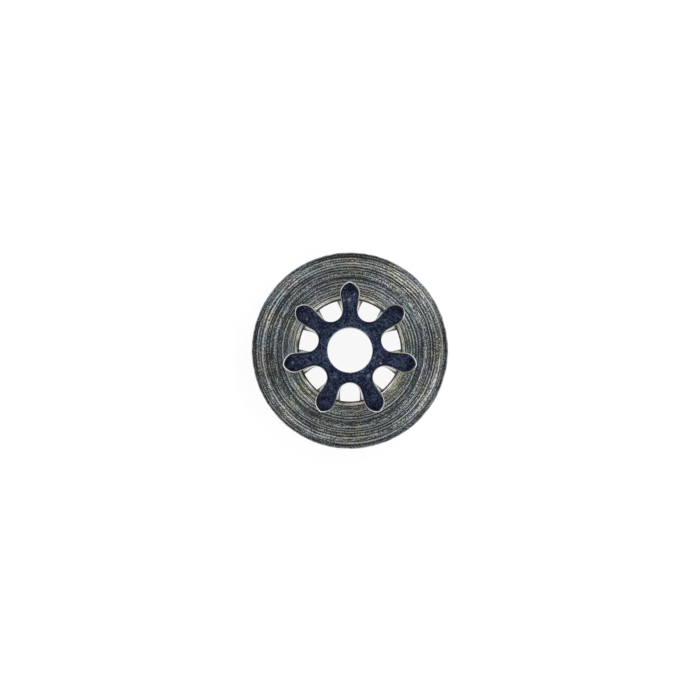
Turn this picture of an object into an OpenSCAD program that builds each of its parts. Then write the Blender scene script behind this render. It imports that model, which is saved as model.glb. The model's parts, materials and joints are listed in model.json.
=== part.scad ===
// Pinion with saw-shaped face teeth, for a watch movement.
// A hollow pinion of steel is riveted into a turned steel ring. The leaves of the pinion stand
// in front of the ring, and the ring carries face teeth on its rear side.
// Millimetres and degrees. The axis is Z, the leaves point up, and the crests of the face teeth
// lie at z = 0. One leaf points along +Y.

/* [Ring] */
// Outside diameter of the ring
ring_d = 1.88; // [1.84:0.01:2.1]
// Thickness of the ring between its front face and the roots of its face teeth at the rim
ring_thick = 0.27; // [0.22:0.01:0.4]
// Width of the bevel round the front rim
rim_bevel = 0.038; // [0.01:0.002:0.05]
// Depth of that bevel along the axis
rim_bevel_depth = 0.03; // [0.01:0.002:0.05]
// Diameter of the hole that takes the pinion's seat
hole_d = 0.975; // [0.955:0.005:1.02]
// Bevel at the front edge of the hole
hole_bevel = 0.03; // [0.01:0.002:0.036]
// Thickness of the web round the hole, behind the front face
web_thick = 0.2; // [0.17:0.01:0.24]
// Diameter of the recess behind the web
recess_d = 1.28; // [1.2:0.01:1.36]

/* [Face teeth] */
// Number of face teeth
tooth_count = 14; // [10:1:20]
// Depth of the face teeth at the rim
tooth_depth = 0.13; // [0.09:0.01:0.16]
// Height taken off the sharp crests, which leaves a narrow land
crest_cut = 0.008; // [0.004:0.001:0.015]
// Bevel round both ends of the face teeth
tooth_bevel = 0.014; // [0.005:0.001:0.03]

/* [Pinion] */
// Number of leaves
leaf_count = 7; // [6:1:8]
// Module: pitch diameter over the number of leaves
leaf_module = 0.15; // [0.145:0.001:0.155]
// Thickness of a leaf at the pitch circle
leaf_thick = 0.186; // [0.15:0.002:0.2]
// Height of the leaf tips over the pitch circle
addendum = 0.131; // [0.11:0.001:0.15]
// Diameter at the bottom of the gaps between the leaves
root_d = 0.62; // [0.58:0.005:0.66]
// Length of the leaves in front of the ring
leaf_length = 0.35; // [0.2:0.01:0.6]
// Bevel at the front corner of the leaf tips
tip_bevel = 0.01; // [0.004:0.001:0.02]
// Diameter of the bore
bore_d = 0.43; // [0.38:0.005:0.48]
// Bevel at both ends of the bore
bore_bevel = 0.01; // [0.004:0.001:0.02]

/* [Rivet] */
// How far the riveted end stands behind the web of the ring
rivet_proud = 0.045; // [0.03:0.005:0.06]
// Depth and width of the countersink that the riveted leaf ends fill
rivet_sink = 0.03; // [0.015:0.005:0.05]
// How far each side of a leaf spreads at the edge of the hole
rivet_spread = 0.034; // [0.015:0.001:0.045]
// Length of the part of the seat that the rivet punch spreads
spread_length = 0.07; // [0.05:0.005:0.12]
// Depth of the dished end of the rivet, between the bore and the leaves
rivet_dish = 0.02; // [0.01:0.005:0.03]

/* [Fit] */
// Radial clearance between the pinion's seat and the ring
seat_clear = 0.002; // [0.001:0.001:0.004]

/* [Hidden] */
$fn = 96;
// How far a cutting shape reaches past what it cuts
over = 0.1;

ring_r = ring_d / 2;
hole_r = hole_d / 2;
recess_r = recess_d / 2;
ring_front = tooth_depth + ring_thick;
web_back = ring_front - web_thick;

tooth_pitch = 360 / tooth_count;
slope_angle = atan((tooth_depth + crest_cut) / (ring_r * sin(tooth_pitch)));

seat_r = hole_r - seat_clear;
rivet_r = seat_r + rivet_sink;
bore_r = bore_d / 2;
root_r = root_d / 2;
pitch_r = leaf_count * leaf_module / 2;
tip_r = pitch_r + addendum;
pinion_front = ring_front + leaf_length;
pinion_back = web_back - rivet_proud;

leaf_pitch = 360 / leaf_count;
leaf_half = leaf_thick / 2 / pitch_r * 180 / PI;
gap_half = leaf_pitch / 2 - leaf_half;
// The round bottom of a gap touches the root circle and both flanks.
gap_centre = root_r / (1 - sin(gap_half));
gap_r = gap_centre - root_r;
gap_touch = gap_centre * cos(gap_half);
// Each arc of the leaf tip leaves the flank smoothly at the pitch circle and meets the other
// arc at the tip.
ogive_r = (pow(pitch_r, 2) + pow(tip_r, 2) - 2 * pitch_r * tip_r * cos(leaf_half))
    / (2 * tip_r * sin(leaf_half));

// Straight steps in each arc of a leaf tip and in the round bottom of a gap
tip_steps = 9;
root_steps = 14;

// A point at a distance and at an angle from +Y, counted towards +X.
function at_angle(r, a) = [r * sin(a), r * cos(a)];

// Ring blank, turned: hole, web, recess and rim.
module ring_blank() {
    rotate_extrude()
        polygon([
            [hole_r, ring_front - hole_bevel],
            [hole_r + hole_bevel, ring_front],
            [ring_r - rim_bevel, ring_front],
            [ring_r, ring_front - rim_bevel_depth],
            [ring_r, tooth_bevel],
            [ring_r - tooth_bevel, 0],
            [recess_r + tooth_bevel, 0],
            [recess_r, tooth_bevel],
            [recess_r, web_back],
            [hole_r + rivet_sink, web_back],
            [hole_r, web_back + rivet_sink]
        ]);
}

// Space between two face teeth. One side is an upright plane through the axis, and the other
// is a slope that rises from the crest line, so the teeth grow deeper towards the rim.
module tooth_gap() {
    reach = ring_r + over;
    intersection() {
        translate([0, 0, -over])
            linear_extrude(over + tooth_depth + over)
                polygon([
                    [0, 0],
                    [reach, 0],
                    [reach, reach * tan(tooth_pitch)],
                    [reach * cos(tooth_pitch), reach * sin(tooth_pitch)]
                ]);
        translate([0, 0, -crest_cut])
            rotate([slope_angle, 0, 0])
                translate([-reach, -reach, -2 * reach])
                    cube(2 * reach);
    }
}

module ratchet_ring() {
    color("dimgray")
        difference() {
            ring_blank();
            for (i = [0 : tooth_count - 1])
                rotate((i + 0.5) * tooth_pitch)
                    tooth_gap();
        }
}

// Points of an arc round a centre, between two angles counted as in at_angle.
function arc(centre, r, from, to, steps) =
    [for (k = [0 : steps]) centre + at_angle(r, from + (to - from) * k / steps)];

// A point turned about the axis.
function turned(p, a) = [p.x * cos(a) + p.y * sin(a), p.y * cos(a) - p.x * sin(a)];

// Outline of one leaf along +Y, with the bottom of the gap that follows it: a radial flank, the
// two arcs of the tip, the other flank and the round root.
function leaf_outline() =
    let (
        flank_end = at_angle(pitch_r, leaf_half),
        centre = flank_end + ogive_r * [-cos(leaf_half), sin(leaf_half)],
        crest = acos((tip_r - centre.y) / ogive_r)
    )
    concat(
        arc([-centre.x, centre.y], ogive_r, -90 - leaf_half, -crest, tip_steps),
        arc(centre, ogive_r, crest, 90 + leaf_half, tip_steps),
        arc(at_angle(gap_centre, leaf_pitch / 2), gap_r, leaf_half - 90,
            leaf_pitch - leaf_half - 270, root_steps)
    );

// Section of the pinion: all its leaves round one hub.
module pinion_section() {
    polygon([
        for (i = [0 : leaf_count - 1])
            for (p = leaf_outline())
                turned(p, i * leaf_pitch)
    ]);
}

// Riveted leaf ends: each leaf grows wider from its root to the edge of the ring's hole, and
// past it in the same proportion.
module spread_section() {
    start = at_angle(gap_touch, leaf_half);
    edge = at_angle(seat_r, leaf_half) + rivet_spread * [cos(leaf_half), -sin(leaf_half)];
    end = edge * (rivet_r + over) / seat_r;
    for (i = [0 : leaf_count - 1])
        rotate(i * leaf_pitch)
            polygon([[0, 0], start, edge, end, [-end.x, end.y], [-edge.x, edge.y],
                [-start.x, start.y]]);
}

// Blank of the pinion, turned: full height in front, the seat, and the riveted rear end.
module pinion_blank() {
    rotate_extrude()
        polygon([
            [bore_r, pinion_back + rivet_dish + bore_bevel],
            [bore_r + bore_bevel, pinion_back + rivet_dish],
            [root_r, pinion_back + rivet_dish],
            [(root_r + seat_r) / 2, pinion_back],
            [rivet_r - rivet_proud / 2, pinion_back],
            [rivet_r, pinion_back + rivet_proud / 2],
            [rivet_r, web_back],
            [seat_r, web_back + rivet_sink],
            [seat_r, ring_front],
            [tip_r, ring_front],
            [tip_r, pinion_front - tip_bevel],
            [tip_r - tip_bevel, pinion_front],
            [bore_r + bore_bevel, pinion_front],
            [bore_r, pinion_front - bore_bevel]
        ]);
}

module leaf_pinion() {
    color("midnightblue")
        intersection() {
            pinion_blank();
            translate([0, 0, pinion_back - over]) {
                linear_extrude(pinion_front - pinion_back + 2 * over)
                    pinion_section();
                linear_extrude(over + rivet_proud + spread_length)
                    spread_section();
            }
        }
}

ratchet_ring();
leaf_pinion();
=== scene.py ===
import json
import math
from types import SimpleNamespace

import bmesh
import bpy
import numpy as np
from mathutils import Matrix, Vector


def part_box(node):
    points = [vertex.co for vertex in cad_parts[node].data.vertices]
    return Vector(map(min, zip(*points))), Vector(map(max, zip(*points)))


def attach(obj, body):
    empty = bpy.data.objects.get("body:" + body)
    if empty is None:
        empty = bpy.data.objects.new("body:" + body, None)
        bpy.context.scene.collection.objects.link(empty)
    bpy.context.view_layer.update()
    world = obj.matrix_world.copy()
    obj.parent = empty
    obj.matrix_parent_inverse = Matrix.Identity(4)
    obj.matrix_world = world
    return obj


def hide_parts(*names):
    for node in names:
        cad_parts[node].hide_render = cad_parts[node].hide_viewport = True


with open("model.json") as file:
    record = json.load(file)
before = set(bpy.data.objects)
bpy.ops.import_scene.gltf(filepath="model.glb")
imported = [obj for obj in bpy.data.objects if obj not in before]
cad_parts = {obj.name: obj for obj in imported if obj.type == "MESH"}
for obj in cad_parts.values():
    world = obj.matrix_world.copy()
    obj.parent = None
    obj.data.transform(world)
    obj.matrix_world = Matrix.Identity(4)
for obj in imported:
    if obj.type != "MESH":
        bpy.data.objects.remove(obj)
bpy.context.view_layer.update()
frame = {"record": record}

# Sizes below are in millimetres, and meshes are scaled to metres when they are made.
MM = 0.001


# Sizes taken from the frame

ring_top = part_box("ratchet_ring")[1] / MM
pinion_low, pinion_top = (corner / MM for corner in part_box("leaf_pinion"))
mounts = {mount["name"]: mount for mount in frame["record"]["mounts"]}

RING_R = ring_top.x
RING_FRONT = ring_top.z
TIP_R = pinion_top.y
PINION_FRONT = pinion_top.z
PINION_BACK = pinion_low.z
BORE_R = mounts["post_bore"]["dims"]["r_mm"]


# Sizes of the ring

HOLE_R = 0.4875
# Width of the cone at the hole's front edge, how much deeper it is than wide, and how far down
# it starts
HOLE_CONE = 0.0105
CONE_EXTRA = 0.002
HOLE_DEPTH = 0.024
# Width of the hole's whole front edge, up to the turned face
HOLE_EDGE = 0.03
WEB_THICK = 0.2
RECESS_R = 0.64
RECESS_CORNER = 0.012
RIM_BEVEL = 0.038
RIM_BEVEL_DEPTH = 0.03
RIM_ROUND = 0.008
# How far the facing cut fell away towards the rim, and how far under full height it starts, so
# that the crests of its tool marks stay inside the ring's thickness
FACE_FALL = 0.008
FACE_SINK = 0.0008
FACE_LOOPS = 90
FACE_IN = HOLE_R + HOLE_EDGE
FACE_OUT = RING_R - RIM_BEVEL
CONE_LOW = RING_FRONT - HOLE_DEPTH
BEVEL_LOW = RING_FRONT - RIM_BEVEL_DEPTH
WEB_BACK = RING_FRONT - WEB_THICK

# Spacing, depth and phase of the waves that make up the tool marks in the front face, and the
# width over which they fade out at either side of it
TOOL_MARKS = [
    (0.121, 0.0006, 0.1),
    (0.0797, 0.0006, 0.45),
    (0.0523, 0.0004, 0.8),
    (0.0301, 0.00022, 0.3),
]
MARKS_FADE = 0.01

TEETH = 14
TOOTH_DEPTH = 0.13
CREST_CUT = 0.008
TOOTH_BEVEL = 0.014
TOOTH_PITCH = 2 * math.pi / TEETH
TOOTH_SLOPE = (TOOTH_DEPTH + CREST_CUT) / (RING_R * math.sin(TOOTH_PITCH))
# The upright face of a tooth leans a little, so that its top and its foot are separate columns
TOOTH_WALL_LEAN = math.radians(0.15)
COLUMNS_PER_SLOPE = 26
# Distances from the axis of the mesh's loops between the two ends of the teeth, and over the web
TOOTH_LOOPS = (0.86, 0.79, 0.72)
WEB_LOOPS = (0.6, 0.56)


# Sizes of the pinion

LEAVES = 7
MODULE = 0.15
LEAF_THICK = 0.186
ROOT_R = 0.31
SEAT_CLEAR = 0.002
SEAT_R = HOLE_R - SEAT_CLEAR
LEAF_PITCH = 2 * math.pi / LEAVES
PITCH_R = LEAVES * MODULE / 2
LEAF_HALF = LEAF_THICK / 2 / PITCH_R

# Round bottom of a gap between two leaves, and the arc of a leaf's tip
GAP_HALF = LEAF_PITCH / 2 - LEAF_HALF
GAP_CENTRE = ROOT_R / (1 - math.sin(GAP_HALF))
GAP_R = GAP_CENTRE - ROOT_R
GAP_TOUCH = GAP_CENTRE * math.cos(GAP_HALF)
OGIVE_R = (PITCH_R**2 + TIP_R**2 - 2 * PITCH_R * TIP_R * math.cos(LEAF_HALF)) / (
    2 * TIP_R * math.sin(LEAF_HALF)
)

RIVET_SINK = 0.03
RIVET_R = SEAT_R + RIVET_SINK
RIVET_PROUD = WEB_BACK - PINION_BACK
RIVET_DISH = 0.02
RIVET_ROUND = 0.006
# Width and depth of the rolled edge round the rear end
ROLL_WIDTH = 0.02
ROLL_DEPTH = 0.012
SINK_TOP = WEB_BACK + RIVET_SINK
BORE_BACK = PINION_BACK + RIVET_DISH
# How far each side of a leaf spreads at the seat, and that as an angle, how far from the axis
# the spreading starts, its largest share past the seat, and how far over the web's back it ends
SIDE_SPREAD = 0.038
RIVET_SPREAD = SIDE_SPREAD / SEAT_R
SPREAD_R = 0.335
SPREAD_MOST = 1.4
SPREAD_LENGTH = 0.11
SPREAD_TOP = WEB_BACK + SPREAD_LENGTH
# Heights of the mesh's first loop over the rivet's cone and of its last one under the shoulder
SEAT_STEP = 0.01
SHOULDER_MARGIN = 0.004

# Rounding of the leaves' front edge, and how much rounder wear has made it out at the tips
LEAF_EDGE = 0.02
TIP_WEAR = 0.45
BORE_EDGE = 0.01
# Distance from the bore's ends to the mesh's loops inside it
BORE_MARGIN = 0.02
# Flat margin inside a rounded edge, which keeps its shading apart from the flat end's
FLAT_MARGIN = 0.003

TIP_POINTS = 16
FLANK_POINTS = 6
ROOT_POINTS = 26
LEAF_POINTS = 2 * (TIP_POINTS + FLANK_POINTS) + ROOT_POINTS
OUTLINE_POINTS = LEAVES * LEAF_POINTS
# The flat ends are filled with rungs across each leaf, down to a few past its neck
NECK_RUNGS = 5
RUNGS = TIP_POINTS + FLANK_POINTS + NECK_RUNGS
NECK_ANGLE = math.radians(11.5)


# Meshes

# Points closer than this are one, and an edge that turns by more than this angle looks sharp
WELD = 0.0001
SHARP_TURN = math.radians(32)


def lofted(name, loops, surfaces, materials, crossed=None):
    """A closed ring-shaped skin through loops of points. surfaces[i] names the material of the
    faces between loop i and the next one, and crossed[i] holds those faces where they aren't
    plain quads."""
    count = len(loops[0])
    points = np.concatenate(loops) * MM
    faces = []
    slots = []
    order = list(dict.fromkeys(surfaces))
    for i, surface in enumerate(surfaces):
        here = i * count
        there = (i + 1) % len(loops) * count
        quads = [(here + j, here + (j + 1) % count, there + (j + 1) % count, there + j)
                 for j in range(count)]
        span = (crossed or {}).get(i, quads)
        faces += span
        slots += [order.index(surface)] * len(span)
    mesh = bpy.data.meshes.new(name)
    mesh.from_pydata(points.tolist(), [], faces)
    for surface in order:
        mesh.materials.append(materials[surface])
    mesh.polygons.foreach_set("material_index", slots)
    mesh.polygons.foreach_set("use_smooth", [True] * len(faces))
    skin = bmesh.new()
    skin.from_mesh(mesh)
    bmesh.ops.remove_doubles(skin, verts=skin.verts, dist=WELD * MM)
    skin.to_mesh(mesh)
    skin.free()
    mesh.set_sharp_from_angle(angle=SHARP_TURN)
    return placed(name, mesh)


def placed(name, data):
    """Adds a mesh, a lamp or a camera to the scene as an object."""
    made = bpy.data.objects.new(name, data)
    bpy.context.scene.collection.objects.link(made)
    return made


# Ring

def tooth_columns(radius):
    """Angles of the mesh's columns at a radius. Each tooth has its upright face, the narrow land
    on its crest, and its slope."""
    land = math.asin(CREST_CUT / TOOTH_SLOPE / radius)
    slope = np.linspace(land, TOOTH_PITCH - TOOTH_WALL_LEAN, COLUMNS_PER_SLOPE)
    one = np.concatenate([[TOOTH_WALL_LEAN], slope])
    return np.concatenate([one + (i + 0.5) * TOOTH_PITCH for i in range(TEETH)])


def ring_loop(radius, height):
    """Points round the ring. Where the blank's height is less than that of the face teeth's
    slopes, the points lie on the slopes."""
    angles = tooth_columns(radius)
    along = (angles / TOOTH_PITCH - 0.5) % 1 * TOOTH_PITCH
    slope = TOOTH_SLOPE * radius * np.sin(along) - CREST_CUT
    heights = np.maximum(height, slope)
    return np.stack([radius * np.cos(angles), radius * np.sin(angles), heights], axis=1)[::-1]


def on(surface, points):
    """Points of the ring's section, each with the name of the surface that starts there."""
    return [(surface, radius, height) for radius, height in points]


def corner(start, middle, end, steps):
    """Points of a rounded corner, from start past middle to end."""
    t = np.linspace(0, 1, steps + 1)[:, None]
    start, middle, end = (np.array(p, float) for p in (start, middle, end))
    return (1 - t) ** 2 * start + 2 * t * (1 - t) * middle + t**2 * end


def hole_front():
    """Front edge of the hole: the cone that the lathe cut, and outside it an edge rounded with a
    stone."""
    # How far the rounded foot of the cone reaches down, out and up, and how far its top leans
    below, foot_out, foot_up, lean = 0.004, 0.003, 0.005, 0.008
    top_r = HOLE_R + HOLE_CONE
    top = CONE_LOW + HOLE_CONE + CONE_EXTRA
    cone = corner((HOLE_R, CONE_LOW - below), (HOLE_R, CONE_LOW),
                  (HOLE_R + foot_out, CONE_LOW + foot_up), 4)
    edge = corner((top_r, top), (top_r + lean, RING_FRONT), (FACE_IN, RING_FRONT), 6)
    return on("hole_cone", cone) + on("hole_edge", edge[:-1])


def groove_depth(radius):
    """Depth of the tool marks that the facing cut left in the front face."""
    marks = 0
    for spacing, depth, phase in TOOL_MARKS:
        marks += depth * np.cos(2 * math.pi * (radius / spacing + phase))
    fade_out = np.clip((FACE_OUT - radius) / MARKS_FADE, 0, 1)
    return marks * fade_out * np.clip((radius - FACE_IN) / MARKS_FADE, 0, 1)


def front_face():
    """The turned face, with its tool marks, which falls away towards the rim."""
    radii = np.linspace(FACE_IN, FACE_OUT, FACE_LOOPS)
    falls = np.linspace(0, FACE_FALL, FACE_LOOPS)
    return on("turned_face", [(r, RING_FRONT - FACE_SINK - fall + groove_depth(r))
                              for r, fall in zip(radii, falls)])


def rim():
    """The bevel round the front rim, its rounded outer edge, and the upright wall."""
    high = RING_FRONT - FACE_FALL
    # Where the face turns into the bevel, how far out and down that turn ends, how high up the
    # bevel the outer edge's rounding starts, and how far over the teeth the wall's mesh ends
    turn, out, down, edge_up, over_teeth = 0.004, 0.007, 0.002, 0.0065, 0.02
    bevel = corner((FACE_OUT, high), (FACE_OUT + turn, high), (FACE_OUT + out, high - down), 3)
    edge = corner((RING_R - RIM_ROUND, BEVEL_LOW + edge_up), (RING_R, BEVEL_LOW),
                  (RING_R, BEVEL_LOW - RIM_ROUND), 4)
    foot = TOOTH_DEPTH + over_teeth
    wall = [(RING_R, height) for height in np.linspace(BEVEL_LOW - RIM_ROUND, foot, 5)]
    return on("rim_bevel", bevel) + on("rim_edge", edge[:-1]) + on("rim_wall", wall)


def face_teeth():
    """The rear of the blank, where the face teeth are cut, with a bevel round both their ends."""
    # A loop close inside either end keeps the bevels' shading apart from the slopes', and the
    # bevel has one loop on its way.
    margin = 0.004
    low = 0.3 * TOOTH_BEVEL
    outer = RING_R - TOOTH_BEVEL
    inner = RECESS_R + TOOTH_BEVEL
    radii = (outer, outer - margin, *TOOTH_LOOPS, inner + margin)
    return (
        on("tooth_end", [(RING_R, TOOTH_BEVEL), (RING_R - low, low)])
        + on("teeth", [(radius, 0.0) for radius in radii])
        + on("tooth_end", [(inner, 0.0), (RECESS_R + low, low)])
        + on("recess", [(RECESS_R, TOOTH_BEVEL)])
    )


def ring_rear():
    """The recess and the web behind it, the countersink for the rivet, and the hole's wall."""
    # How far out and up the countersink's rounded lip reaches, how far its top is rounded, and
    # the heights of the wall's loops over the web's back and under the cone
    lip_out, lip_up, ease, wall_low, wall_end = 0.003, 0.001, 0.002, 0.09, 0.01
    sink_r = HOLE_R + RIVET_SINK
    recess = corner((RECESS_R, WEB_BACK - RECESS_CORNER), (RECESS_R, WEB_BACK),
                    (RECESS_R - RECESS_CORNER, WEB_BACK), 4)
    web = [(radius, WEB_BACK) for radius in (*WEB_LOOPS, sink_r + lip_out)]
    sink = [(sink_r, WEB_BACK + lip_up), (HOLE_R + ease, SINK_TOP - ease)]
    heights = (SINK_TOP + ease, WEB_BACK + wall_low, CONE_LOW - wall_end)
    wall = [(HOLE_R, height) for height in heights]
    return on("recess", recess) + on("recess", web) + on("hole_wall", sink + wall)


def make_ring(materials):
    """The turned ring with its face teeth, as loops round the axis from the hole over the front
    face, the rim and the teeth to the web and back into the hole."""
    section = hole_front() + front_face() + rim() + face_teeth() + ring_rear()
    loops = [ring_loop(radius, height) for surface, radius, height in section]
    surfaces = [surface for surface, radius, height in section]
    return lofted("turned_ring", loops, surfaces, materials)


# Pinion

def at_angle(radius, angle):
    """Points at a radius and an angle counted from +Y towards +X."""
    return np.stack([radius * np.sin(angle), radius * np.cos(angle)], axis=-1)


def half_leaf(limit, spread):
    """Right half of one leaf from the middle of its tip to the bottom of the gap, as radii and
    angles from the leaf's middle. A tip that is turned down ends in an arc at the limit."""
    flank_end = at_angle(PITCH_R, LEAF_HALF)
    centre = flank_end + OGIVE_R * np.array([-math.cos(LEAF_HALF), math.sin(LEAF_HALF)])
    crest = math.acos((TIP_R - centre[1]) / OGIVE_R)
    if limit < PITCH_R:
        tip = at_angle(limit, np.linspace(0, LEAF_HALF, TIP_POINTS))
    else:
        turn = np.linspace(crest, math.pi / 2 + LEAF_HALF, TIP_POINTS)
        tip = centre + at_angle(OGIVE_R, turn)
    flank = at_angle(np.linspace(SEAT_R, GAP_TOUCH, FLANK_POINTS + 1)[:-1], LEAF_HALF)
    turn = np.linspace(LEAF_HALF - math.pi / 2, LEAF_PITCH / 2 - math.pi, ROOT_POINTS // 2 + 1)
    root = at_angle(GAP_CENTRE, LEAF_PITCH / 2) + at_angle(GAP_R, turn)
    points = np.concatenate([tip, flank, root])
    radius = np.hypot(points[:, 0], points[:, 1])
    angle = np.arctan2(points[:, 0], points[:, 1])
    reach = np.clip((radius - SPREAD_R) / (SEAT_R - SPREAD_R), 0, SPREAD_MOST)
    edge = np.clip(angle / LEAF_HALF, 0, 1)
    return radius, angle + spread * reach * edge


def outline(limit, spread=0.0, inset=0.0):
    """Section of the pinion as a closed loop, drawn in from its own edge by the inset, which may
    differ from point to point."""
    radius, angle = half_leaf(limit, spread)
    back = slice(-2, 0, -1)
    one_radius = np.concatenate([radius, radius[back]])
    one_angle = np.concatenate([angle, LEAF_PITCH - angle[back]])
    radii = np.tile(one_radius, LEAVES)
    angles = np.concatenate([one_angle + i * LEAF_PITCH for i in range(LEAVES)])
    points = at_angle(radii, angles)[::-1]
    run = np.roll(points, -1, axis=0) - np.roll(points, 1, axis=0)
    run /= np.linalg.norm(run, axis=1)[:, None]
    return points + np.reshape(inset, (-1, 1)) * np.stack([-run[:, 1], run[:, 0]], axis=1)


def round_loop(radius):
    """Circle with as many points as the outline, each close to the outline's point."""
    half = LEAF_POINTS // 2
    one = np.interp(np.arange(half + 1), [0, RUNGS, half], [0, NECK_ANGLE, LEAF_PITCH / 2])
    one = np.concatenate([one, LEAF_PITCH - one[-2:0:-1]])
    return at_angle(radius, np.concatenate([one + i * LEAF_PITCH for i in range(LEAVES)]))[::-1]


def raised(surface, points, height):
    """A flat loop at a height, which may differ from point to point, with the name of the
    surface that starts there."""
    heights = np.broadcast_to(height, len(points))
    return surface, np.column_stack([points, heights])


def end_faces(outer, inner):
    """Faces of a flat end, from the numbers of the first points of its outline and of its bore:
    rungs across each leaf, one face from the neck of the leaf to the bore, and quads by the gap."""
    faces = []
    for leaf in range(LEAVES):
        tip = OUTLINE_POINTS - 1 - leaf * LEAF_POINTS
        steps = range(-RUNGS, LEAF_POINTS - RUNGS + 1)
        edge = [outer + (tip + step) % OUTLINE_POINTS for step in steps]
        bore = [inner + (tip + step) % OUTLINE_POINTS for step in steps]
        last = 2 * RUNGS
        for i in range(RUNGS):
            face = (edge[i], edge[i + 1], edge[last - i - 1], edge[last - i])
            faces.append(tuple(dict.fromkeys(face)))
        faces.append((edge[0], edge[last], *bore[last::-1]))
        for i in range(last, LEAF_POINTS):
            faces.append((edge[i], edge[i + 1], bore[i + 1], bore[i]))
    return faces


def rivet_height(points):
    """Height of the rear end of the pinion, which the rivet punch left dished."""
    radius = np.hypot(points[:, 0], points[:, 1])
    middle = (ROOT_R + SEAT_R) / 2
    dish = np.interp(radius, [ROOT_R, middle], [RIVET_DISH, 0])
    roll = np.interp(radius, [RIVET_R - ROLL_WIDTH, RIVET_R], [0, ROLL_DEPTH])
    return PINION_BACK + dish + roll


def rivet():
    """The riveted rear end: its dished face, its sides, and the cone that fills the
    countersink."""
    face = outline(RIVET_R - RIVET_ROUND, RIVET_SPREAD, RIVET_ROUND)
    side = outline(RIVET_R, RIVET_SPREAD)
    return [
        raised("rivet_face", round_loop(BORE_R + BORE_EDGE), BORE_BACK),
        raised("rivet_face", face, rivet_height(face)),
        raised("rivet_side", side, PINION_BACK + RIVET_PROUD / 2),
        raised("rivet_side", side, WEB_BACK),
        raised("seat", outline(SEAT_R, RIVET_SPREAD), SINK_TOP),
    ]


def seat():
    """The leaves turned down to a seat in the ring's hole, spread wide at the rear."""
    loops = []
    for height in np.linspace(SINK_TOP + SEAT_STEP, SPREAD_TOP, 7):
        share = (SPREAD_TOP - height) / (SPREAD_TOP - SINK_TOP)
        spread = RIVET_SPREAD * (3 * share**2 - 2 * share**3)
        loops.append(raised("seat", outline(SEAT_R, spread), height))
    loops.append(raised("seat", outline(SEAT_R), RING_FRONT - SHOULDER_MARGIN))
    return loops


def leaves():
    """The leaves at full height, from their shoulders on the ring to where their front edge
    starts to turn."""
    loops = [raised("shoulder", outline(SEAT_R), RING_FRONT)]
    for height in np.linspace(RING_FRONT, PINION_FRONT - LEAF_EDGE, 6)[:-1]:
        loops.append(raised("flank", outline(TIP_R), height))
    return loops


def leaf_edge():
    """The leaves' rounded front edge, rounder out at the tips, and the margin of their flat
    end."""
    reach = np.hypot(*outline(TIP_R).T)
    worn = 1 + TIP_WEAR * np.clip((reach - PITCH_R) / (TIP_R - PITCH_R), 0, 1) ** 2
    surfaces = ["leaf_rim"] * 4 + ["leaf_band"] * 4 + ["end_face"]
    loops = []
    for surface, turn in zip(surfaces, np.linspace(0, math.pi / 2, len(surfaces))):
        inset = LEAF_EDGE * (1 - math.cos(turn))
        height = PINION_FRONT - LEAF_EDGE * (1 - math.sin(turn))
        loops.append(raised(surface, outline(TIP_R, inset=inset * worn), height))
    margin = (LEAF_EDGE + FLAT_MARGIN) * worn
    loops.append(raised("end_face", outline(TIP_R, inset=margin), PINION_FRONT))
    return loops


def bore():
    """The bore, with a rounded edge at the front and a bevel at the rear."""
    loops = [raised("end_face", round_loop(BORE_R + BORE_EDGE + FLAT_MARGIN), PINION_FRONT)]
    surfaces = ["bore_edge"] * 4 + ["bore"]
    for surface, turn in zip(surfaces, np.linspace(math.pi / 2, 0, len(surfaces))):
        radius = BORE_R + BORE_EDGE * (1 - math.cos(turn))
        height = PINION_FRONT - BORE_EDGE * (1 - math.sin(turn))
        loops.append(raised(surface, round_loop(radius), height))
    for height in np.linspace(PINION_FRONT - BORE_MARGIN, BORE_BACK + BORE_MARGIN, 6):
        loops.append(raised("bore", round_loop(BORE_R), height))
    loops.append(raised("bore_edge", round_loop(BORE_R), BORE_BACK + BORE_EDGE))
    return loops


def make_pinion(materials):
    """The pinion, as loops from its rear end forwards over the leaves and back through the
    bore."""
    outside = rivet() + seat() + leaves() + leaf_edge()
    surfaces, loops = zip(*outside, *bore())
    front = len(outside) * OUTLINE_POINTS
    crossed = {
        0: [face[::-1] for face in end_faces(OUTLINE_POINTS, 0)],
        len(outside) - 1: end_faces(front - OUTLINE_POINTS, front),
    }
    return lofted("seven_leaf_pinion", loops, surfaces, materials, crossed)


# Materials

# Depths of the relief in each kind of finish: turned marks, the lines of other tools, the lapped
# face, and an edge rounded by wear
TURNED_RELIEF = 0.0012
TOOL_RELIEF = 0.001
LAPPED_RELIEF = 0.0006
WORN_RELIEF = 0.0005


def colour(code):
    """An sRGB hex value as linear colour."""
    parts = [int(code[i:i + 2], 16) / 255 for i in (1, 3, 5)]
    return [c / 12.92 if c <= 0.04045 else ((c + 0.055) / 1.055) ** 2.4 for c in parts] + [1]


def node(tree, kind, settings=None, links=None, stops=None):
    """Adds a node, sets its properties and inputs, fills its colour ramp and links its inputs.
    Inputs 6 and 7 of a Mix node are its two colours, and its output 2 is the mixed one."""
    made = tree.nodes.new("ShaderNode" + kind)
    for name, value in (settings or {}).items():
        if isinstance(name, str) and hasattr(made, name):
            setattr(made, name, value)
        else:
            made.inputs[name].default_value = value
    for name, socket in (links or {}).items():
        tree.links.new(socket, made.inputs[name])
    if stops:
        elements = made.color_ramp.elements
        while len(elements) < len(stops):
            elements.new(1.0)
        for element, (position, code) in zip(elements, stops):
            element.position = position
            element.color = colour(code)
    return made


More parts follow.
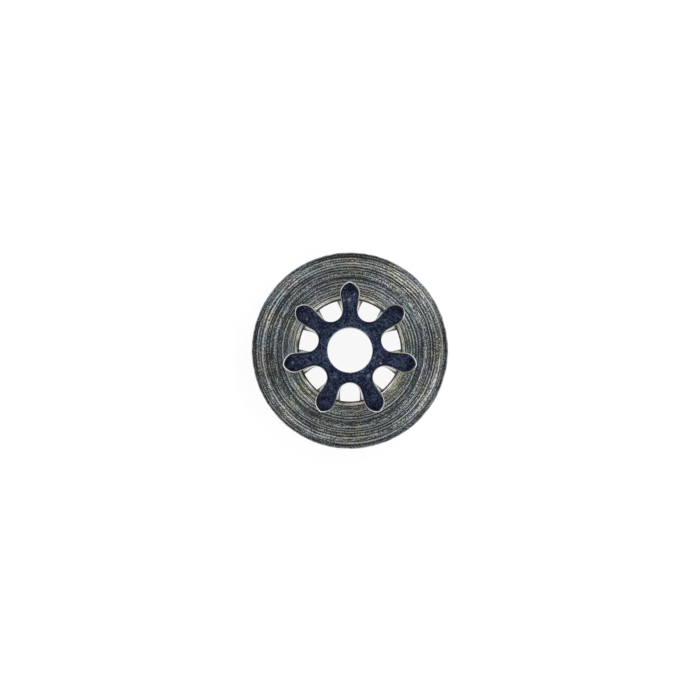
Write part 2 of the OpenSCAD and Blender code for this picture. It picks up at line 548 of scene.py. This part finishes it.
def start_metal(name, **settings):
    """A metal material with its node tree and shader, the point on the surface in millimetres,
    and that point's distance from the axis."""
    material = bpy.data.materials.new(name)
    material.use_nodes = True
    tree = material.node_tree
    shader = tree.nodes["Principled BSDF"]
    shader.inputs["Metallic"].default_value = 1.0
    for socket, value in settings.items():
        shader.inputs[socket.replace("_", " ")].default_value = value
    place = node(tree, "TexCoord")
    point = node(tree, "VectorMath", {"operation": "SCALE", "Scale": 1 / MM},
                 {0: place.outputs["Object"]})
    flat = node(tree, "VectorMath", {"operation": "MULTIPLY", 1: (1, 1, 0)},
                {0: point.outputs[0]})
    radius = node(tree, "VectorMath", {"operation": "LENGTH"}, {0: flat.outputs[0]})
    return SimpleNamespace(material=material, tree=tree, shader=shader, point=point.outputs[0],
                           flat=flat.outputs[0], radius=radius.outputs["Value"])


def finish_metal(metal, tone, relief, depth):
    """Gives the shader its colour, and its relief to a depth in millimetres."""
    metal.tree.links.new(tone, metal.shader.inputs["Base Color"])
    bump = node(metal.tree, "Bump", {"Strength": 1.0, "Distance": depth * MM}, {"Height": relief})
    metal.tree.links.new(bump.outputs[0], metal.shader.inputs["Normal"])
    return metal.material


def cloudy(metal, size, detail, output="Fac"):
    """Noise with patches of a size in millimetres, or of one size along each axis."""
    sizes = np.broadcast_to(size, 3).tolist()
    stretch = node(metal.tree, "VectorMath", {"operation": "DIVIDE", 1: sizes}, {0: metal.point})
    noise = node(metal.tree, "TexNoise", {"Scale": 1.0, "Detail": detail, "Roughness": 0.6},
                 {"Vector": stretch.outputs[0]})
    return noise.outputs[output]


def mixed_by_share(tree, parts):
    """Adds textures up, each by its share of one."""
    total = None
    for share, texture in parts:
        step = node(tree, "Math", {"operation": "MULTIPLY_ADD", 1: share, 2: 0.0}, {0: texture})
        if total:
            tree.links.new(total, step.inputs[2])
        total = step.outputs[0]
    return total


# Turned steel

# Distances between the lathe's marks, and the size of the steel's grain. The real ones are a few
# thousandths of a millimetre, too fine to show, and are drawn as coarse as the render needs:
# just under the width of a pixel.
MARK_PITCH = 0.0084
SHORT_PITCH = 0.0076
STEEL_GRAIN = 0.0095
# Lengths of the marks in radians round the axis: all the way, about a sixth of a turn, and a few
# degrees
WHOLE_MARK = 30.0
LONG_MARK = 1.0
SHORT_MARK = 0.14
# Share of a point's height that is taken from its distance across the marks
HEIGHT_SHARE = 0.8
# Where in the noise the marks lie: a place whose rings are much like the real ring's
MARKS_PLACE = {"X": 568.4, "Y": 45.1}

# Feed of the facing tool for each turn of the lathe, at a place across the marks, how many more
# turns to the millimetre it made with each millimetre outwards, and the marks' phase there
FEED = 0.02754
FEED_PLACE = 0.4521
FEED_CHANGE = 18.4
FEED_START = 3.94

# Patches of the film of lapping oil on the turned steel, and of the stains in it
FILM_PATCH = 0.25
STAIN_PATCH = 0.2

# Tones of the turning marks, from the bottom of a deep one to a bright ridge
FACE_TONES = [(0.38, "#4c5151"), (0.447, "#606564"), (0.5, "#6d716e"), (0.545, "#999c97"),
              (0.567, "#fffffa")]
# The bevel's tones are painted shade: the same turned steel as the face, made nearly black
BEVEL_PAINTED_SHADE_TONES = [(0.4, "#121416"), (0.5, "#2c2f32"), (0.6, "#84868a")]
SIDE_TONES = [(0.38, "#45484a"), (0.5, "#5f6265"), (0.62, "#808385")]
# Bands of deeper and shallower marks over the face, at shares of the ring's radius
FACE_BANDS = [(0.56, "#f6f2ea"), (0.573, "#bbb9b4"), (0.607, "#bcbdbb"), (0.64, "#c5c6c6"),
              (0.668, "#b2b6b6"), (0.73, "#9da2a8"), (0.765, "#b9bdc0"), (0.79, "#b0b2b4"),
              (0.82, "#97989a"), (0.85, "#abadae"), (0.883, "#c7c8c8"), (0.912, "#b6b8b8"),
              (0.935, "#cdcece"), (0.955, "#a2a3a4")]
NO_BANDS = [(0.0, "#ffffff"), (1.0, "#ffffff")]
# Tints of the film of oil, from bluish where it is thin to straw where it is thick
FILM_TINTS = [(0.36, "#f1f8ff"), (0.64, "#fff8ec")]


def across_marks(metal):
    """How far across the turning marks a point lies: its distance from the axis, less a share of
    its height, so that the marks go on down an upright wall."""
    parts = node(metal.tree, "SeparateXYZ", links={0: metal.point})
    across = node(metal.tree, "Math", {"operation": "MULTIPLY_ADD", 1: -HEIGHT_SHARE},
                  {0: parts.outputs["Z"], 2: metal.radius})
    return across.outputs[0]


def feed_marks(metal):
    """Even rings, one for each turn of the lathe, that lie closer together towards the rim."""
    tree = metal.tree
    place = node(tree, "Math", {"operation": "SUBTRACT", 1: FEED_PLACE}, {0: across_marks(metal)})
    rate = node(tree, "Math", {"operation": "MULTIPLY_ADD", 1: FEED_CHANGE / 2, 2: 1 / FEED},
                {0: place.outputs[0]})
    turns = node(tree, "Math", {"operation": "MULTIPLY"},
                 {0: place.outputs[0], 1: rate.outputs[0]})
    angle = node(tree, "Math", {"operation": "MULTIPLY_ADD", 1: 2 * math.pi, 2: FEED_START},
                 {0: turns.outputs[0]})
    wave = node(tree, "Math", {"operation": "SINE"}, {0: angle.outputs[0]})
    wave = node(tree, "Math", {"operation": "MULTIPLY_ADD", 1: 0.5, 2: 0.5}, {0: wave.outputs[0]})
    return wave.outputs[0]


def turned_marks(metal, pitch, reach, detail):
    """Marks of a turning tool, as noise that is fine across them and long round the axis. The
    pitch is the distance between marks in millimetres, and the reach their length in radians."""
    tree = metal.tree
    way = node(tree, "VectorMath", {"operation": "NORMALIZE"}, {0: metal.flat})
    way = node(tree, "VectorMath", {"operation": "SCALE", "Scale": 1 / reach},
               {0: way.outputs[0]})
    across = node(tree, "Math", {"operation": "DIVIDE", 1: pitch}, {0: across_marks(metal)})
    spot = node(tree, "CombineXYZ", MARKS_PLACE, {"Z": across.outputs[0]})
    spot = node(tree, "VectorMath", {"operation": "ADD"}, {0: way.outputs[0], 1: spot.outputs[0]})
    noise = node(tree, "TexNoise", {"Scale": 1.0, "Detail": detail, "Roughness": 0.65},
                 {"Vector": spot.outputs[0]})
    return noise.outputs["Fac"]


def turned_steel(name, tones, bands, tint, roughness, drawn_out):
    """Hardened carbon steel, cut on a lathe: fine dark and bright rings that run round the axis,
    some all the way and some for a few degrees, which draw a lamp's light out across them. A film
    of lapping oil and its stains tint them bluish in one place and straw in another."""
    metal = start_metal(name, Roughness=roughness, Anisotropic=drawn_out,
                        Anisotropic_Rotation=0.25)
    tree = metal.tree
    short = turned_marks(metal, SHORT_PITCH, SHORT_MARK, 0.0)
    marks = mixed_by_share(tree, [
        (0.075, feed_marks(metal)),
        (0.265, turned_marks(metal, MARK_PITCH, WHOLE_MARK, 0.0)),
        (0.23, turned_marks(metal, MARK_PITCH, LONG_MARK, 0.0)),
        (0.15, short),
        (0.28, cloudy(metal, STEEL_GRAIN, 0.0)),
    ])
    tone = node(tree, "ValToRGB", links={"Fac": marks}, stops=tones)
    share = node(tree, "Math", {"operation": "DIVIDE", 1: RING_R}, {0: metal.radius})
    band = node(tree, "ValToRGB", links={"Fac": share.outputs[0]}, stops=bands)
    both = node(tree, "Mix", {"data_type": "RGBA", "blend_type": "MULTIPLY", 0: 1.0},
                {6: tone.outputs["Color"], 7: band.outputs["Color"]})
    film = node(tree, "ValToRGB", links={"Fac": cloudy(metal, FILM_PATCH, 2.0)}, stops=FILM_TINTS)
    both = node(tree, "Mix", {"data_type": "RGBA", "blend_type": "MULTIPLY", 0: 1.0},
                {6: both.outputs[2], 7: film.outputs["Color"]})
    both = node(tree, "Mix", {"data_type": "RGBA", "blend_type": "SOFT_LIGHT", 0: tint},
                {6: both.outputs[2], 7: cloudy(metal, STAIN_PATCH, 3.0, "Color")})
    tangent = node(tree, "Tangent", {"direction_type": "RADIAL", "axis": "Z"})
    tree.links.new(tangent.outputs[0], metal.shader.inputs["Tangent"])
    return finish_metal(metal, both.outputs[2], short, TURNED_RELIEF)


def turned_face_steel():
    """The facing cut on the ring: mid grey with bright rings, in paler and darker bands."""
    return turned_steel("turned_carbon_steel_face", FACE_TONES, FACE_BANDS, tint=0.2,
                        roughness=0.34, drawn_out=0.74)


def turned_bevel_painted_shade_steel():
    """The bevel round the front rim, in painted shade: nearly black, with a few brighter marks in
    it.
    """
    return turned_steel("turned_carbon_steel_bevel_painted_shade", BEVEL_PAINTED_SHADE_TONES, NO_BANDS, tint=0.1,
                        roughness=0.3, drawn_out=0.4)


def turned_side_steel():
    """Walls of the rim, the recess and the hole: an even dark grey with fine rings."""
    return turned_steel("turned_carbon_steel_side", SIDE_TONES, NO_BANDS, tint=0.08,
                        roughness=0.3, drawn_out=0.5)


# Cut and polished steel

# Patches of the painted highlights on the hole's front edge and on the rim's outer edge, and
# smudges in the hole
HOLE_HIGHLIGHT_PATCH = 0.2
RIM_HIGHLIGHT_PATCH = 0.07
SMUDGE = (0.02, 0.02, 0.05)
# Lines that the hob left along the leaves and the reamer round the bore, as sizes along each
# axis, and those of the milling cutter and the punch, as distances and lengths of turned marks.
# The real ones are a few thousandths of a millimetre wide, too fine to show, and are drawn as
# coarse as the render needs.
HOB_LINES = (0.015, 0.015, 0.2)
REAMER_LINES = (0.2, 0.2, 0.014)
MILLED_LINES = {"pitch": 0.7, "reach": 0.013}
PUNCH_LINES = {"pitch": 0.016, "reach": 2.0}


def hole_edge_highlight_steel():
    """Bare carbon steel on the hole's rounded front edge, with a painted highlight: a bright,
    broken line.
    """
    metal = start_metal("hole_edge_painted_highlight_steel", Roughness=0.25)
    patch = cloudy(metal, HOLE_HIGHLIGHT_PATCH, 3.0)
    tone = node(metal.tree, "ValToRGB", links={"Fac": patch},
                stops=[(0.36, "#8c877c"), (0.48, "#e4ddcd"), (0.6, "#fffdf4")])
    return finish_metal(metal, tone.outputs["Color"], patch, TOOL_RELIEF)


def cut_steel(name, dark, light, roughness, size=None, pitch=None, reach=None):
    """Bare carbon steel, cut and then polished: pale grey, with faint lines the way the tool
    went. The lines have a size along each axis, or else a pitch and a reach as turned marks."""
    metal = start_metal(name, Roughness=roughness)
    lines = cloudy(metal, size, 3.0) if size else turned_marks(metal, pitch, reach, 1.0)
    tone = node(metal.tree, "ValToRGB", links={"Fac": lines}, stops=[(0.35, dark), (0.65, light)])
    return finish_metal(metal, tone.outputs["Color"], lines, TOOL_RELIEF)


def rim_edge_highlight_steel():
    """Outer edge of the rim, with a painted highlight broken up by noise: a line of bright and dark
    parts.
    """
    return cut_steel("rim_edge_painted_highlight_steel", "#4c4f53", "#cfd1d4", 0.25,
                     size=RIM_HIGHLIGHT_PATCH)


def hobbed_steel():
    """Flanks of the leaves, which the hob cut along the axis: pale, with fine upright lines."""
    return cut_steel("hobbed_carbon_steel", "#8c9096", "#c2c3c1", 0.25, size=HOB_LINES)


def reamed_steel():
    """Wall of the bore: a smooth pale grey with fine rings round it, left by the reamer."""
    return cut_steel("reamed_carbon_steel", "#85888d", "#b0b1b0", 0.28, size=REAMER_LINES)


def milled_steel():
    """Face teeth, which a cutter milled along the radius: grey, with straight lines that way."""
    return cut_steel("milled_carbon_steel", "#6f7172", "#a6a6a1", 0.3, **MILLED_LINES)


def punched_steel():
    """Rear end of the rivet, spread by a punch that was turned as it pressed: matt grey, with
    faint rings."""
    return cut_steel("punched_carbon_steel", "#828486", "#a7a7a4", 0.35, **PUNCH_LINES)


def upset_steel_painted_shade():
    """Carbon steel that the rivet punch spread, with painted light and shade by height: bright
    where the leaf ends start to widen, and darker down in the hole, with smudges in it."""
    metal = start_metal("upset_carbon_steel_painted_shade", Roughness=0.35)
    tree = metal.tree
    parts = node(tree, "SeparateXYZ", links={0: metal.point})
    # Painted shade and light: the tone runs from dark deep in the hole to bright at the top of the
    # spread
    height = node(tree, "MapRange", {"From Min": SINK_TOP, "From Max": SPREAD_TOP},
                  {"Value": parts.outputs["Z"]})
    smudge = cloudy(metal, SMUDGE, 3.0)
    share = mixed_by_share(tree, [(0.7, height.outputs[0]), (0.3, smudge)])
    tone = node(tree, "ValToRGB", links={"Fac": share},
                stops=[(0.28, "#45474a"), (0.48, "#8a8b8b"), (0.58, "#f2f2ee")])
    return finish_metal(metal, tone.outputs["Color"], smudge, TOOL_RELIEF)


# Blued steel

# Sizes of the lapped face's clouds and fine mottle, of the patches of tint in its blue, of the
# cells that hold one grain of dust at most, and of the grain's ragged edge. Last come the width
# and length of a hairline scratch, which is drawn wider than a real one, too fine to show.
BLUE_CLOUD = 0.07
BLUE_MOTTLE = 0.0145
BLUE_TINT = 0.03
DUST_CELL = 0.06
DUST_EDGE = 0.01
HAIRLINE = (0.014, 0.16, 0.16)
HAIRLINE_TURN = math.radians(128)
# Small and large patches of the painted highlight along the leaves' edge, and how far past the
# gaps' round bottoms it comes to its full strength
EDGE_HIGHLIGHT_PATCH = 0.07
EDGE_HIGHLIGHT_SPAN = 0.3
EDGE_HIGHLIGHT_RISE = 0.03


def dust_grains(metal):
    """Dust: a pale grain in a few of the cells, each of its own size and with a ragged edge."""
    tree = metal.tree
    cell = node(tree, "VectorMath", {"operation": "DIVIDE", 1: (DUST_CELL, DUST_CELL, DUST_CELL)},
                {0: metal.point})
    cell = node(tree, "TexVoronoi", {"Scale": 1.0}, {"Vector": cell.outputs[0]})
    size = node(tree, "MapRange", {"From Min": 0.55, "From Max": 0.95, "To Max": 0.14},
                {"Value": cell.outputs["Color"]})
    ragged = node(tree, "Math", {"operation": "MULTIPLY"},
                  {0: cell.outputs["Distance"], 1: cloudy(metal, DUST_EDGE, 1.0)})
    grain = node(tree, "Math", {"operation": "LESS_THAN"},
                 {0: ragged.outputs[0], 1: size.outputs[0]})
    return grain.outputs[0]


def hairlines(metal):
    """A few fine scratches that all run one way: the peaks of a noise drawn out long."""
    tree = metal.tree
    turn = node(tree, "VectorRotate", {"Angle": HAIRLINE_TURN}, {"Vector": metal.point})
    turn = node(tree, "VectorMath", {"operation": "DIVIDE", 1: HAIRLINE}, {0: turn.outputs[0]})
    noise = node(tree, "TexNoise", {"Scale": 1.0, "Detail": 0.0}, {"Vector": turn.outputs[0]})
    scratch = node(tree, "MapRange", {"From Min": 0.77, "From Max": 0.86, "To Max": 0.5},
                   {"Value": noise.outputs["Fac"]})
    return scratch.outputs[0]


def blued_steel():
    """Carbon steel, hardened, lapped and blued: a mottled navy face, nearly black out at the leaf
    tips, with dust and a few hairline scratches on it."""
    metal = start_metal("lapped_blued_steel", Roughness=0.3)
    tree = metal.tree
    mottle = mixed_by_share(tree, [
        (0.42, cloudy(metal, BLUE_CLOUD, 2.0)),
        (0.58, cloudy(metal, BLUE_MOTTLE, 0.0)),
    ])
    tone = node(tree, "ValToRGB", links={"Fac": mottle},
                stops=[(0.37, "#1b2034"), (0.5, "#343c53"), (0.63, "#566076")])
    share = node(tree, "Math", {"operation": "DIVIDE", 1: TIP_R}, {0: metal.radius})
    fade = node(tree, "ValToRGB", links={"Fac": share.outputs[0]},
                stops=[(0.37, "#ffffff"), (0.41, "#e8e8ea"), (0.8, "#e2e2e5"), (0.96, "#80808a")])
    face = node(tree, "Mix", {"data_type": "RGBA", "blend_type": "MULTIPLY", 0: 1.0},
                {6: tone.outputs["Color"], 7: fade.outputs["Color"]})
    face = node(tree, "Mix", {"data_type": "RGBA", "blend_type": "SOFT_LIGHT", 0: 0.2},
                {6: face.outputs[2], 7: cloudy(metal, BLUE_TINT, 2.0, "Color")})
    wear = node(tree, "Math", {"operation": "MAXIMUM"},
                {0: dust_grains(metal), 1: hairlines(metal)})
    worn = node(tree, "Mix", {"data_type": "RGBA", 7: colour("#7d8292")},
                {0: wear.outputs[0], 6: face.outputs[2]})
    return finish_metal(metal, worn.outputs[2], mottle, LAPPED_RELIEF)


def leaf_edge_steel(name, inside, middle, outside):
    """Blued steel, rounded along the leaf's edge: nearly black in the bottom of the gaps, and
    another tone from the flanks out to the tip, here more and there less. On the edge's lower part
    that tone is a painted highlight, and on its upper part painted shade."""
    metal = start_metal(name, Roughness=0.25)
    tree = metal.tree
    patch = cloudy(metal, EDGE_HIGHLIGHT_PATCH, 2.0)
    # Where the edge's painted highlight or shade lies: broken up by noise, and none at the bottom
    # of the gaps
    wear = mixed_by_share(tree, [(0.4, patch), (0.6, cloudy(metal, EDGE_HIGHLIGHT_SPAN, 0.0))])
    reach = node(tree, "MapRange", {"From Min": ROOT_R, "From Max": GAP_TOUCH + EDGE_HIGHLIGHT_RISE},
                 {"Value": metal.radius})
    wear = node(tree, "Math", {"operation": "MULTIPLY"}, {0: reach.outputs[0], 1: wear})
    tone = node(tree, "ValToRGB", links={"Fac": wear.outputs[0]},
                stops=[(0.1, inside), (0.4, middle), (0.55, outside)])
    return finish_metal(metal, tone.outputs["Color"], patch, WORN_RELIEF)


def leaf_edge_shade_steel():
    """Upper part of the leaves' edge: a dark band of painted shade inside the bright line."""
    return leaf_edge_steel("blued_steel_leaf_edge_painted_shade", "#1b1f2f", "#1b1e2b", "#20222b")


def leaf_edge_highlight_steel():
    """Lower part of the leaves' edge: a painted highlight, a bright, broken line round each leaf.
    """
    return leaf_edge_steel("blued_steel_leaf_edge_painted_highlight", "#1f2333", "#9d9c99", "#fbf9f2")


def ring_finishes():
    """The finish of each surface of the ring."""
    side = turned_side_steel()
    return {
        "turned_face": turned_face_steel(), "hole_cone": side, "hole_edge": hole_edge_highlight_steel(),
        "rim_bevel": turned_bevel_painted_shade_steel(), "rim_edge": rim_edge_highlight_steel(), "rim_wall": side,
        "tooth_end": side, "teeth": milled_steel(), "recess": side, "hole_wall": side,
    }


def pinion_finishes():
    """The finish of each surface of the pinion."""
    blue = blued_steel()
    hobbed = hobbed_steel()
    punched = punched_steel()
    return {
        "rivet_face": punched, "rivet_side": punched, "seat": upset_steel_painted_shade(), "shoulder": hobbed,
        "flank": hobbed, "leaf_rim": leaf_edge_highlight_steel(), "leaf_band": leaf_edge_shade_steel(),
        "end_face": blue, "bore_edge": blue, "bore": reamed_steel(),
    }


# Floor, light and camera

# Width of the ring in the photograph, its centre there, and the photograph's own width
PHOTO_RING_PX = 196.0
PHOTO_CENTRE_PX = (349.9, 350.8)
PHOTO_PX = 700
MM_PER_PX = 2 * RING_R / PHOTO_RING_PX
# The photograph was taken from straight above, but for a small tilt towards its lower edge
CAMERA_TILT = math.radians(0.8)
CAMERA_AWAY = 100
SENSOR_WIDTH = 36
# Nearest and farthest distance that the camera sees
CLIP_NEAR = 1
CLIP_FAR = 2000

# Half the floor's width, how far it lies under the face teeth, and the share of its own light in
# what the camera sees of it, which leaves the rest for the shadow
FLOOR_HALF = 400
FLOOR_GAP = 0.0005
FLOOR_GLOW = 0.92

# Distance and width of the soft boxes and their height as an angle, and for each the angle round
# the axis and its power in watts
BOX_AWAY = 70
BOX_WIDTH = 38
BOX_RISE = math.radians(48)
SOFT_BOXES = [
    ("far_right", 44, 0.0270),
    ("far_left", 136, 0.0105),
    ("near_left", 228, 0.0090),
    ("near_right", 328, 0.0195),
]


def light_table():
    """A matt white sheet, lit through: the camera and reflections see it white with the part's
    faint shadow, and it throws back light as plain white paint."""
    material = bpy.data.materials.new("white_light_table")
    material.use_nodes = True
    tree = material.node_tree
    shader = tree.nodes["Principled BSDF"]
    shader.inputs["Base Color"].default_value = colour("#f0f0f0")
    shader.inputs["Roughness"].default_value = 0.9
    shader.inputs["Specular IOR Level"].default_value = 0.0
    path = node(tree, "LightPath")
    seen = node(tree, "Math", {"operation": "MAXIMUM"},
                {0: path.outputs["Is Camera Ray"], 1: path.outputs["Is Glossy Ray"]})
    seen = node(tree, "Math", {"operation": "MAXIMUM"},
                {0: seen.outputs[0], 1: path.outputs["Is Transmission Ray"]})
    lamp = node(tree, "Emission", {"Color": colour("#ffffff"), "Strength": 1.0})
    share = node(tree, "Math", {"operation": "MULTIPLY", 1: FLOOR_GLOW}, {0: seen.outputs[0]})
    both = node(tree, "MixShader", links={0: share.outputs[0], 1: shader.outputs[0],
                                          2: lamp.outputs[0]})
    tree.links.new(both.outputs[0], tree.nodes["Material Output"].inputs["Surface"])
    return material


def make_floor():
    """The sheet that the part lies on."""
    size = FLOOR_HALF * MM
    corners = [(-1, -1), (1, -1), (1, 1), (-1, 1)]
    mesh = bpy.data.meshes.new("floor")
    mesh.from_pydata([(x * size, y * size, -FLOOR_GAP * MM) for x, y in corners], [],
                     [(0, 1, 2, 3)])
    mesh.materials.append(light_table())
    floor = placed("floor", mesh)


def make_world():
    """White at the height of the horizon and greyer overhead, as under a lens in a light tent."""
    world = bpy.data.worlds.new("light_tent")
    bpy.context.scene.world = world
    world.use_nodes = True
    tree = world.node_tree
    way = node(tree, "TexCoord")
    parts = node(tree, "SeparateXYZ", links={0: way.outputs["Generated"]})
    made = node(tree, "ValToRGB", links={"Fac": parts.outputs["Z"]},
                stops=[(0.15, "#ffffff"), (0.9, "#bcbec3")])
    tree.links.new(made.outputs["Color"], tree.nodes["Background"].inputs["Color"])


def make_lights():
    """Four soft boxes, one over each corner of the photograph."""
    for name, turn, power in SOFT_BOXES:
        lamp = bpy.data.lights.new("soft_box_" + name, "AREA")
        lamp.shape = "SQUARE"
        lamp.size = BOX_WIDTH * MM
        lamp.energy = power
        light = placed("soft_box_" + name, lamp)
        turn = math.radians(turn)
        away = BOX_AWAY * MM
        side = away * math.cos(BOX_RISE)
        light.location = (side * math.cos(turn), side * math.sin(turn), away * math.sin(BOX_RISE))
        light.rotation_mode = "QUATERNION"
        light.rotation_quaternion = light.location.to_track_quat("Z", "Y")
        light.visible_camera = False


def make_camera():
    """A camera over the part, placed so that the ring lies where the photograph shows it."""
    away = CAMERA_AWAY * MM
    data = bpy.data.cameras.new("camera")
    data.sensor_width = SENSOR_WIDTH
    data.lens = data.sensor_width * away / (PHOTO_PX * MM_PER_PX * MM)
    data.clip_start = CLIP_NEAR * MM
    data.clip_end = CLIP_FAR * MM
    camera = placed("camera", data)
    right = (PHOTO_PX / 2 - PHOTO_CENTRE_PX[0]) * MM_PER_PX * MM
    up = (PHOTO_CENTRE_PX[1] - PHOTO_PX / 2) * MM_PER_PX * MM
    middle = RING_FRONT / 2 * MM
    camera.location = (right, up - away * math.sin(CAMERA_TILT),
                       middle + away * math.cos(CAMERA_TILT))
    camera.rotation_euler = (CAMERA_TILT, 0, 0)
    bpy.context.scene.camera = camera


make_camera()
make_floor()
make_world()
make_lights()
ring = make_ring(ring_finishes())
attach(ring, "root")
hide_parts("ratchet_ring")
pinion = make_pinion(pinion_finishes())
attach(pinion, "root")
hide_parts("leaf_pinion")

bpy.context.scene.view_settings.view_transform = "Standard"
